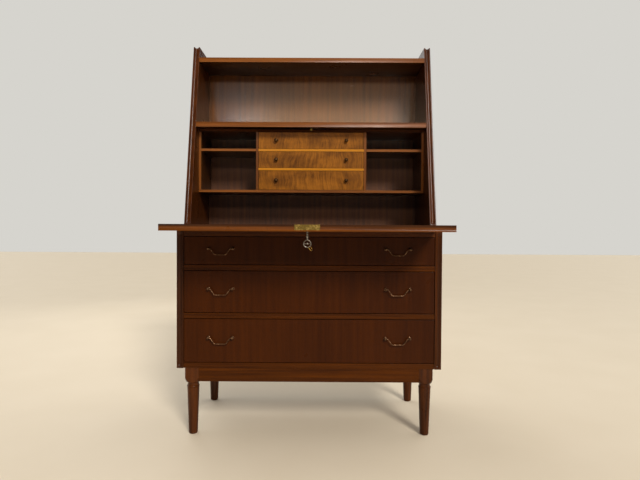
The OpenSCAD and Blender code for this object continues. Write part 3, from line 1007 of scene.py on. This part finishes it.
@dataclass
class Base:
    """Aprons and turned legs.

    Attributes:
        corner_power: The power of the rounded square, which sets how soft its arrises are.
        block: The height of a leg's square block.
        bead: The radius of a leg's bead.
        neck: The radius of the hollow above the bead.
    """

    corner_power: float = 46.0
    block: float = 0.048
    bead: float = 0.0025
    neck: float = 0.005

    def leg_shell(self, node: str) -> Shell:
        """A leg: square above, turned below.

        At angle a and height z the radius is the smaller of the turned radius R(z) and that of
        the rounded square, s / (|cos a|^p + |sin a|^p)^(1/p).

        Args:
            node: The leg's CAD node.

        Returns:
            The points and the faces.
        """
        low, high = box_of(node)
        middle, half = (low + high) / 2, (high[0] - low[0]) / 2
        shoulder = high[2] - self.block
        round_out = np.radians(np.linspace(-80, 80, 9))
        round_in = np.radians(np.linspace(180, 90, 8))
        foot = [[0.0, 0.0], [0.0128, 0.0], [0.0138, 0.0004], [0.0155, 0.0036], [0.0158, 0.0046]]
        taper = np.c_[np.linspace(0.0162, 0.0213, 9), np.linspace(0.02, shoulder - 0.0235, 9)]
        bead = np.c_[0.0197 + self.bead * np.cos(round_out),
                     shoulder - 0.020 + self.bead * np.sin(round_out)]
        neck = np.c_[0.024 + self.neck * np.cos(round_in),
                     shoulder - 0.010 + self.neck * np.sin(round_in)]
        flare = np.c_[np.linspace(0.0245, 0.0352, 7),
                      np.linspace(shoulder - 0.0046, shoulder + 0.014, 7)]
        top = [[0.036, shoulder + 0.02], [0.036, high[2] - 0.0006], [0.0352, high[2]],
               [0.0, high[2]]]
        profile = np.concatenate([foot, taper, bead, neck, flare, top])
        angle = np.linspace(0, 2 * np.pi, 96, endpoint=False)
        power = self.corner_power
        roundness = np.abs(np.cos(angle)) ** power + np.abs(np.sin(angle)) ** power
        square = half / roundness ** (1 / power)
        radius = np.minimum(np.maximum(profile[:, :1], NO_RADIUS), square[None])
        rings = np.stack([
            middle[0] + radius * np.cos(angle), middle[1] + radius * np.sin(angle),
            np.broadcast_to(profile[:, 1:], radius.shape)], -1)
        return loft(rings)

    def build(self, shop: Workshop) -> None:
        """Makes the aprons and the legs.

        Args:
            shop: The workshop that makes its pieces.
        """
        for place, finish, seed in (("front", RAIL, 21), ("back", WALNUT, 22)):
            shop.board(f"apron_board_{place}", f"apron_{place}", "case", Slot.WALNUT,
                       finish.material(Axis.X, seed))
        low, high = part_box("apron_ends")
        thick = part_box("apron_front")[1][1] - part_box("apron_front")[0][1]
        ends = [
            block(low, (low[0] + thick, high[1], high[2])),
            block((high[0] - thick, low[1], low[2]), high)]
        shop.piece("apron_boards_end", ends, "case", Slot.WALNUT, WALNUT.material(Axis.Y, 23),
                   ["apron_ends"], 0.0008)
        for seed, place in enumerate(("front_left", "front_right", "back_left", "back_right"), 24):
            node = f"leg_{place}"
            shop.piece(f"turned_leg_{place}", [self.leg_shell(node)], "case", Slot.WALNUT,
                       WALNUT.material(Axis.Z, seed), [node], crease=40.0)


@dataclass
class Interior:
    """The fitted interior behind the flap, with its strike and stop.

    Attributes:
        thick: The thickness of its boards.
    """

    thick: float = 0.0095

    def pair(self, node: str, axis: int) -> list[Shell]:
        """Two boards of a CAD node's box, at its two ends along an axis.

        Args:
            node: The CAD node.
            axis: The axis, 0 for X and 2 for Z.

        Returns:
            The two boards.
        """
        low, high = box_of(node)
        inner_high, inner_low = high.copy(), low.copy()
        inner_high[axis] = low[axis] + self.thick
        inner_low[axis] = high[axis] - self.thick
        return [block(low, inner_high), block(inner_low, high)]

    def build(self, shop: Workshop) -> None:
        """Makes its boards and dresses its fittings.

        Args:
            shop: The workshop that makes its pieces.
        """
        level, upright = WALNUT.material(Axis.X, 31), EDGE.material(Axis.Z, 32)
        shop.board("cubby_lid", "cubby_top", "case", Slot.WALNUT, level, 0.0005)
        shop.board("cubby_floor", "cubby_bottom", "case", Slot.WALNUT, EDGE.material(Axis.X, 33),
                   0.0005)
        for name, node in (("cubby_cheeks", "cubby_sides"), ("cubby_uprights", "cubby_dividers")):
            shop.piece(name, self.pair(node, 0), "case", Slot.WALNUT, upright, [node], 0.0005)
        low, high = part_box("pigeonhole_shelves")
        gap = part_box("cubby_dividers")[1][0]
        shelves = [block(low, (-gap, high[1], high[2])), block((gap, low[1], low[2]), high)]
        shop.piece("cubby_shelves", shelves, "case", Slot.WALNUT, EDGE.material(Axis.X, 34),
                   ["pigeonhole_shelves"], 0.0005)
        shop.piece("light_rails", self.pair("small_drawer_rails", 2), "case", Slot.LIGHT,
                   LIGHT.material(Axis.X, 35), ["small_drawer_rails"], 0.0005)
        for node in ("strike_plate", "flap_stop"):
            shop.dress(node, BRASS.material())


@dataclass
class Flap:
    """The fall flap with its pins, lock, key and key ring.

    Attributes:
        bow: Radius of the key's bow and of its wire.
        lean: The angle of the ring's place on the bow from straight down, in radians.
        ring: Radius of the ring and of its wire.
        turn: How far the ring is turned about its own leaning axis, in radians.
        hang: From the bow's wire to the ring's middle line.
        ring_turns: How many turns the ring's wire makes.
    """

    bow: tuple[float, float] = (0.0108, 0.0016)
    lean: float = math.radians(35.0)
    ring: tuple[float, float] = (0.0085, 0.00042)
    turn: float = math.radians(70.0)
    hang: float = 0.0011
    ring_turns: float = 1.9

    def key_shells(self) -> list[Shell]:
        """The key: turned shank with its collars, bit, round bow, and a bar with a boss.

        The shank's outline goes up from the bow through its foot, the two collars below the
        keyhole and the plain stem. The bow is a wire round a circle. The boss is an ellipse
        turned about the Y axis, and the bar thickens as the square of the way to its ends.

        Returns:
            Each part's points and faces.
        """
        low, high = box_of("key")
        wide, wire = self.bow
        x, y, keyhole = pivot_of("key_turn")
        middle = low[2] + wide + wire
        top = high[2]
        collar = keyhole - 0.016
        profile = np.array([
            [0, middle + wide - wire], [0.0030, middle + wide - wire],
            [0.0032, middle + wide + 0.0016], [0.0027, middle + wide + 0.003],
            [0.0025, collar - 0.0026], [0.0034, collar - 0.0022], [0.0036, collar - 0.0010],
            [0.0031, collar - 0.0004], [0.0040, collar + 0.0002], [0.0041, collar + 0.0014],
            [0.0034, collar + 0.0020], [0.0027, collar + 0.0024], [0.0027, top - 0.0006],
            [0.0021, top], [0, top]])
        angle = np.linspace(0, 2 * np.pi, 64, endpoint=False)
        loop = np.c_[x + wide * np.cos(angle), np.full(64, y), middle + wide * np.sin(angle)]
        bar = np.c_[np.linspace(x - wide, x + wide, 9), np.full(9, y), np.full(9, middle)]
        swell = 0.0010 + 0.0004 * np.abs(np.linspace(-1, 1, 9)) ** 2
        around = np.radians(np.linspace(0, 180, 13))
        boss = np.c_[0.0030 * np.sin(around), -0.0016 * np.cos(around)]
        bit_low, bit_high = (x - 0.007, y - 0.001, top - 0.008), (x, y + 0.001, top - 0.001)
        return [
            turned(profile, (x, y, 0), (0, 0, 1), 24),
            tube(loop, (0, 1, 0), wire, 14, True),
            tube(bar, (0, 1, 0), swell, 12),
            turned(boss, (x, y, middle), (0, 1, 0), 18),
            block(bit_low, bit_high)]

    def ring_shell(self) -> Shell:
        """The split ring: a wire of almost two turns side by side.

        At angle a the middle line is centre + r (cos a u + sin a v) + rise(a) n, where u and v
        lie in the ring's plane, n is its normal, and the rise grows evenly with a.

        Returns:
            The points and the faces.
        """
        spot = pivot_of("ring_swing")
        outward = np.array([math.sin(self.lean), 0, -math.cos(self.lean)])
        along = np.array([math.cos(self.lean), 0, math.sin(self.lean)])
        back = np.array([0.0, 1.0, 0.0])
        u = math.cos(self.turn) * along + math.sin(self.turn) * back
        normal = np.cross(u, outward)
        radius, wire = self.ring
        reach = radius - (self.bow[1] + self.hang)
        turns = self.ring_turns
        whole = 2 * np.pi * turns
        a = np.linspace(0.0, whole, 110)
        rise = (a / whole - 0.5) * 2 * wire * (turns - 1) * 1.06
        path = (spot + outward * reach + radius * (
            np.cos(a)[:, None] * u + np.sin(a)[:, None] * outward) + rise[:, None] * normal)
        return tube(path, normal, wire, 8)

    def build(self, shop: Workshop) -> None:
        """Makes the flap and the key, and dresses the lock.

        Args:
            shop: The workshop that makes its pieces.
        """
        shop.shaped("flap_board", "flap", "flap", Slot.WALNUT, FLAP.material(Axis.X, 41))
        for node in ("pivot_pins", "lock_case", "lock_plate", "lock_screws", "escutcheon",
                     "lock_bolt"):
            shop.dress(node, BRASS.material())
        shop.piece("key_with_bow", self.key_shells(), "key", Slot.KEY, KEY_METAL.material(),
                   ["key"])
        shop.piece("split_ring", [self.ring_shell()], "key_ring", Slot.KEY, RING_METAL.material(),
                   ["key_ring"])


@dataclass
class Tray:
    """An open drawer box with dovetailed back corners.

    Attributes:
        node: The CAD node that it stands for.
        body: The body that it moves with.
        wall: The thickness of its sides and back.
        floor: The floor's height above the sides' lower edge, and its thickness.
        tails: How many dovetails join each back corner.
        seed: A number that moves its grain.
        neck: Half of the gap between two tails, as a share of their pitch.
        spread: How far a tail's flank spreads over its length, as a share of it.
    """

    node: str
    body: str
    wall: float
    floor: tuple[float, float]
    tails: int
    seed: int
    neck: float = 0.26
    spread: float = 1 / 7

    def ends(self, low: Array, high: Array) -> tuple[float, float, float, float, float]:
        """The tails' pitch, half gap and flare, and the places of their roots and ends."""
        pitch = (high[2] - low[2]) / self.tails
        return (pitch, pitch * self.neck, self.wall * self.spread, high[1] - self.wall, high[1])

    def tail_outline(self, low: Array, high: Array) -> Array:
        """A side's outline in (y, z), its back end cut into dovetails.

        Each tail is as long as the wall is thick, and its flanks spread towards its end.

        Args:
            low: The lowest corner of the tray's box.
            high: Its highest corner.

        Returns:
            The points of the outline.
        """
        pitch, neck, spread, root, end = self.ends(low, high)
        base = low[2] + pitch * np.arange(self.tails)
        tail = np.stack([
            np.c_[np.full(self.tails, root), base + neck],
            np.c_[np.full(self.tails, end), base + neck - spread],
            np.c_[np.full(self.tails, end), base + pitch - neck + spread],
            np.c_[np.full(self.tails, root), base + pitch - neck]], 1).reshape(-1, 2)
        return np.concatenate([
            [[low[1], low[2]], [root, low[2]]], tail, [[root, high[2]], [low[1], high[2]]]])

    def pin_outlines(self, low: Array, high: Array) -> list[Array]:
        """The back board's pins in (y, z), which fill the gaps between the tails.

        Args:
            low: The lowest corner of the tray's box.
            high: Its highest corner.

        Returns:
            One outline for each pin.
        """
        pitch, neck, spread, root, end = self.ends(low, high)
        edges = low[2] + pitch * np.arange(self.tails + 1)
        pins = []
        for z in edges:
            inner = (max(z - neck, low[2]), min(z + neck, high[2]))
            outer = (max(z - neck + spread, low[2]), min(z + neck - spread, high[2]))
            pins.append(np.array([
                [root, inner[0]], [end, outer[0]], [end, outer[1]], [root, inner[1]]]))
        return pins

    def build(self, shop: Workshop, name: str) -> None:
        """Makes the two sides, the back with its pins, and the floor.

        Args:
            shop: The workshop that makes its pieces.
            name: The start of its pieces' names.
        """
        low, high = box_of(self.node)
        side = self.tail_outline(low, high)
        sides = [
            carried_across(side, low[0], low[0] + self.wall),
            carried_across(side, high[0] - self.wall, high[0])]
        shop.piece(f"{name}_sides", sides, self.body, Slot.LINING,
                   LINING.material(Axis.Y, self.seed), [self.node], 0.0003)
        back = [block((low[0] + self.wall, high[1] - self.wall, low[2] + self.floor[0]),
                      (high[0] - self.wall, high[1], high[2]))]
        for outline in self.pin_outlines(low, high):
            back.append(carried_across(outline, low[0], low[0] + self.wall))
            back.append(carried_across(outline, high[0] - self.wall, high[0]))
        shop.piece(f"{name}_back", back, self.body, Slot.LINING,
                   LINING.material(Axis.X, self.seed + 1), crease=30.0)
        bottom = block(
            (low[0] + self.wall, low[1], low[2] + self.floor[0]),
            (high[0] - self.wall, high[1] - self.wall, low[2] + sum(self.floor)))
        shop.piece(f"{name}_floor", [bottom], self.body, Slot.LINING,
                   LINING.material(Axis.X, self.seed + 2), soften=0.0003)


@dataclass
class LargeDrawer:
    """A large drawer with its veneered front, tray, and two bail handles.

    Attributes:
        number: 1 for the top drawer.
        ball: The radius of a post's ball end.
        wire: The radius of a bail's wire.
        drop: The drop of a bail's bar below its pivots.
        pitch: The distance between a handle's posts.
        shoulder: From a post to where its wire turns down.
        bar: The length of a bail's bar.
    """

    number: int
    ball: float = 0.0052
    wire: float = 0.0018
    drop: float = 0.021
    pitch: float = 0.085
    shoulder: float = 0.0075
    bar: float = 0.040

    def post_shell(self, centre: Array, face: float) -> Shell:
        """A turned post from the drawer's face to the ball that holds the bail.

        Its outline is a round foot, a waisted neck and then the arc of the ball.

        Args:
            centre: The middle of its ball.
            face: The drawer front's place along Y.

        Returns:
            The points and the faces.
        """
        out = face - centre[1]
        ball = np.radians(np.linspace(28, 180, 15))
        profile = np.concatenate([
            [[0, 0], [0.0052, 0.0], [0.0055, 0.0005], [0.0053, 0.0012], [0.0040, 0.0018],
             [0.0030, 0.0030], [0.0026, 0.0052]],
            np.c_[self.ball * np.sin(ball), out - self.ball * np.cos(ball)]])
        profile[-1, 0] = 0
        return turned(profile, (centre[0], face, centre[2]), (0, -1, 0), 26)

    def bail_shell(self, pivot: Array) -> Shell:
        """A bail: round wire, level out of each post, bent down to its bar.

        The wire swells a little in the middle of the bar: its radius grows by a tenth as the
        cosine squared of the place along it.

        Args:
            pivot: The point that it swings about, midway between the posts.

        Returns:
            The points and the faces.
        """
        half = self.pitch / 2
        corners = np.array([
            [-half + 0.0006, 0, 0], [-half + self.shoulder, 0, 0], [-self.bar / 2, 0, -self.drop],
            [self.bar / 2, 0, -self.drop], [half - self.shoulder, 0, 0], [half - 0.0006, 0, 0]])
        path = filleted(corners, 0.0034) + pivot
        share = (path[:, 0] - pivot[0]) / half
        radius = self.wire * (0.97 + 0.06 * np.cos(share * np.pi / 2) ** 2)
        return tube(path, (0, 1, 0), radius, 16)

    def build(self, shop: Workshop) -> None:
        """Makes the front, the tray, the posts and the bails.

        Args:
            shop: The workshop that makes its pieces.
        """
        name = f"drawer_{self.number}"
        front = DRAWER.material(Axis.Z, 50 + self.number)
        shop.board(f"{name}_veneered", f"{name}_front", name, Slot.DRAWER, front, 0.0009)
        tails = 3 if self.number == 1 else 4
        tray = Tray(f"{name}_tray", name, 0.012, (0.008, 0.005), tails, 60 + self.number)
        tray.build(shop, f"{name}_box")
        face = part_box(f"{name}_front")[0][1]
        posts = []
        for side in ("left", "right"):
            bail = f"bail_{self.number}_{side}"
            pivot = pivot_of(f"{bail}_swing")
            posts += [
                self.post_shell(pivot + [end * self.pitch / 2, 0, 0], face) for end in (-1, 1)]
            shop.piece(f"handle_{self.number}_{side}", [self.bail_shell(pivot)], bail,
                       Slot.BRONZE, BRONZE.material(), [bail])
        shop.piece(f"{name}_turned_posts", posts, name, Slot.BRONZE, BRONZE.material(),
                   [f"{name}_posts"])


@dataclass
class SmallDrawer:
    """A small drawer of the fitted interior, with two knobs.

    Attributes:
        number: 1 for the top drawer.
        knob_x: From the middle to each knob.
    """

    number: int
    knob_x: float = 0.137

    def knob_shell(self, x: float, face: float, z: float) -> Shell:
        """A turned knob: foot, waisted neck and domed head.

        The head's radius goes as a power of the cosine while its height goes as the sine.

        Args:
            x: Its place along X.
            face: The drawer front's place along Y.
            z: Its height.

        Returns:
            The points and the faces.
        """
        head = np.radians(np.linspace(-60, 90, 12))
        profile = np.concatenate([
            [[0, 0], [0.0042, 0.0], [0.0045, 0.0005], [0.0042, 0.0011], [0.0030, 0.0024],
             [0.0027, 0.0040], [0.0031, 0.0056]],
            np.c_[0.0072 * np.cos(head) ** 0.8, 0.0100 + 0.0038 * np.sin(head)]])
        profile[-1, 0] = 0
        return turned(profile, (x, face, z), (0, -1, 0), 26)

    def build(self, shop: Workshop) -> None:
        """Makes the front, the tray and the knobs.

        Args:
            shop: The workshop that makes its pieces.
        """
        name = f"small_drawer_{self.number}"
        shop.board(f"{name}_veneered", f"{name}_front", name, Slot.FIGURED,
                   FIGURED.material(self.number), 0.0006)
        tray = Tray(f"{name}_tray", name, 0.007, (0.0, 0.003), 3, 80 + self.number)
        tray.build(shop, f"{name}_box")
        low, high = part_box(f"{name}_knobs")
        middle = (low[2] + high[2]) / 2
        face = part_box(f"{name}_front")[0][1]
        knobs = [self.knob_shell(x, face, middle) for x in (-self.knob_x, self.knob_x)]
        shop.piece(f"{name}_turned_knobs", knobs, name, Slot.BRONZE, KNOB.material(),
                   [f"{name}_knobs"])


# ---------------------------------------------------------------- the studio


@dataclass
class Studio:
    """The floor, the lights and the camera.

    Attributes:
        eye: The camera's place.
        yaw: How far it looks to the left, in radians.
        pitch: How far it looks down.
        roll: How far its right-hand side is raised.
        focal: Its focal length in millimetres.
        sensor: The width of its sensor in millimetres.
        wall: The colour of the background.
        ambient: The strength of the light that comes from all round.
        reach: From the desk to each edge of the floor.
    """

    eye: tuple[float, float, float] = (0.0431, -1.8793, 0.7275)
    yaw: float = math.radians(-0.192)
    pitch: float = math.radians(1.14)
    roll: float = math.radians(0.314)
    focal: float = 29.21625
    sensor: float = 36.0
    wall: Colour = srgb(214, 212, 206)
    ambient: float = 0.15
    reach: float = 14.0

    def camera(self) -> None:
        """Makes the camera and makes it the scene's."""
        ahead = Vector((
            math.sin(self.yaw) * math.cos(self.pitch), math.cos(self.yaw) * math.cos(self.pitch),
            -math.sin(self.pitch)))
        level = Vector((math.cos(self.yaw), -math.sin(self.yaw), 0.0))
        above = level.cross(ahead)
        right = math.cos(self.roll) * level + math.sin(self.roll) * above
        up = math.cos(self.roll) * above - math.sin(self.roll) * level
        lens = bpy.data.cameras.new("camera")
        lens.lens = self.focal
        lens.sensor_width = self.sensor
        lens.clip_start = 0.01
        made = bpy.data.objects.new("camera", lens)
        turned_to = Matrix((right, up, -ahead)).transposed().to_4x4()
        made.matrix_world = Matrix.Translation(self.eye) @ turned_to
        bpy.context.scene.collection.objects.link(made)
        bpy.context.scene.camera = made

    def lamp(self, name: str, place: Sequence[float], aim: Sequence[float],
             size: tuple[float, float], power: float, colour: Colour) -> None:
        """Makes one soft rectangular light.

        Args:
            name: The light's name.
            place: Where it stands.
            aim: The point that it faces.
            size: Its width and height.
            power: Its power in watts.
            colour: Its colour.
        """
        light = bpy.data.lights.new(name, "AREA")
        light.shape = "RECTANGLE"
        light.size, light.size_y = size
        light.energy = power
        light.color = colour
        made = bpy.data.objects.new(name, light)
        made.location = place
        made.rotation_euler = (Vector(aim) - Vector(place)).to_track_quat("-Z", "Y").to_euler()
        bpy.context.scene.collection.objects.link(made)

    def sun(self, name: str, place: Sequence[float], strength: float, spread: float,
            colour: Colour) -> None:
        """Makes one even light.

        Args:
            name: The light's name.
            place: A place in the direction that it comes from, seen from the origin.
            strength: Its strength in watts for each square metre.
            spread: The angle that it fills, in radians.
            colour: Its colour.
        """
        light = bpy.data.lights.new(name, "SUN")
        light.energy = strength
        light.angle = spread
        light.color = colour
        made = bpy.data.objects.new(name, light)
        made.rotation_euler = Vector(place).to_track_quat("Z", "Y").to_euler()
        bpy.context.scene.collection.objects.link(made)

    def lights(self) -> None:
        """Makes the even lights, then the ones whose reflections lie on the open shelf's back."""
        warm, cool = (1.0, 0.98, 0.95), (0.94, 0.97, 1.0)
        self.sun("key_light", (1.3, -3.2, 2.1), 2.7, 0.26, (1.0, 0.96, 0.90))
        self.sun("ceiling", (0.0, -0.5, 3.0), 0.8, 1.1, warm)
        self.sun("left_side", (-3.0, 1.6, 1.9), 0.9, 1.2, cool)
        self.sun("right_side", (3.0, 1.6, 1.9), 0.9, 1.2, warm)
        shelf_back = (0.0, 0.1, 1.15)
        for name, place, size, power, colour in (
            ("far_wall", (0.0, -3.4, 1.9), (1.9, 0.26), 15.0, (1.0, 0.66, 0.38)),
            ("left_window", (-0.84, -3.35, 1.9), (0.40, 0.26), 2.4, (0.72, 0.86, 1.0)),
            ("right_window", (0.86, -3.35, 1.9), (0.3, 0.26), 0.7, (0.80, 0.9, 1.0)),
        ):
            self.lamp(name, place, shelf_back, size, power, colour)
        self.lamp("back_light", (-1.2, 2.9, 2.2), (0.0, 0.2, 0.8), (2.0, 1.5), 22.0, warm)

    def floor(self) -> None:
        """Makes the plain pale floor."""
        mesh = bpy.data.meshes.new("floor")
        reach = self.reach
        corners = [(-reach, -reach, 0), (reach, -reach, 0), (reach, reach, 0), (-reach, reach, 0)]
        mesh.from_pydata(corners, [], [(0, 1, 2, 3)])
        r = Recipe("pale_floor")
        cloud = r.noise(r.place(), 3.0, 3.0)
        r.surface(
            Base_Color=r.blend(cloud, srgb(214, 200, 176), srgb(221, 208, 186)),
            Roughness=0.62 + cloud * 0.08)
        mesh.materials.append(r.material)
        made = bpy.data.objects.new("floor", mesh)
        bpy.context.scene.collection.objects.link(made)

    def surroundings(self) -> None:
        """Makes the pale background, and the dimmer light that comes from all round."""
        world = bpy.data.worlds.new("surroundings")
        world.use_nodes = True
        tree = world.node_tree
        tree.nodes.clear()
        path, pick = tree.nodes.new("ShaderNodeLightPath"), tree.nodes.new("ShaderNodeMixShader")
        out = tree.nodes.new("ShaderNodeOutputWorld")
        tree.links.new(path.outputs["Is Camera Ray"], pick.inputs[0])
        for place, strength in ((1, self.ambient), (2, 1.0)):
            shade = tree.nodes.new("ShaderNodeBackground")
            shade.inputs["Color"].default_value = (*self.wall, 1.0)
            shade.inputs["Strength"].default_value = strength
            tree.links.new(shade.outputs[0], pick.inputs[place])
        tree.links.new(pick.outputs[0], out.inputs["Surface"])
        bpy.context.scene.world = world

    def build(self) -> None:
        """Makes the camera, the lights, the surroundings and the floor."""
        self.camera()
        self.lights()
        self.surroundings()
        self.floor()
        bpy.context.scene.view_settings.view_transform = "Standard"


def main() -> None:
    """Builds the desk and the studio."""
    logging.basicConfig(level=logging.INFO, format="%(name)s: %(message)s")
    shop = Workshop()
    Studio().build()
    SidePanel(-1, "side_panel_left").build(shop)
    SidePanel(1, "side_panel_right").build(shop)
    for part in (Case(), Base(), Interior(), Flap()):
        part.build(shop)
    for number in (1, 2, 3):
        LargeDrawer(number).build(shop)
        SmallDrawer(number).build(shop)
    LOG.info("%d pieces", len(shop.made))


if __name__ == "__main__":
    main()
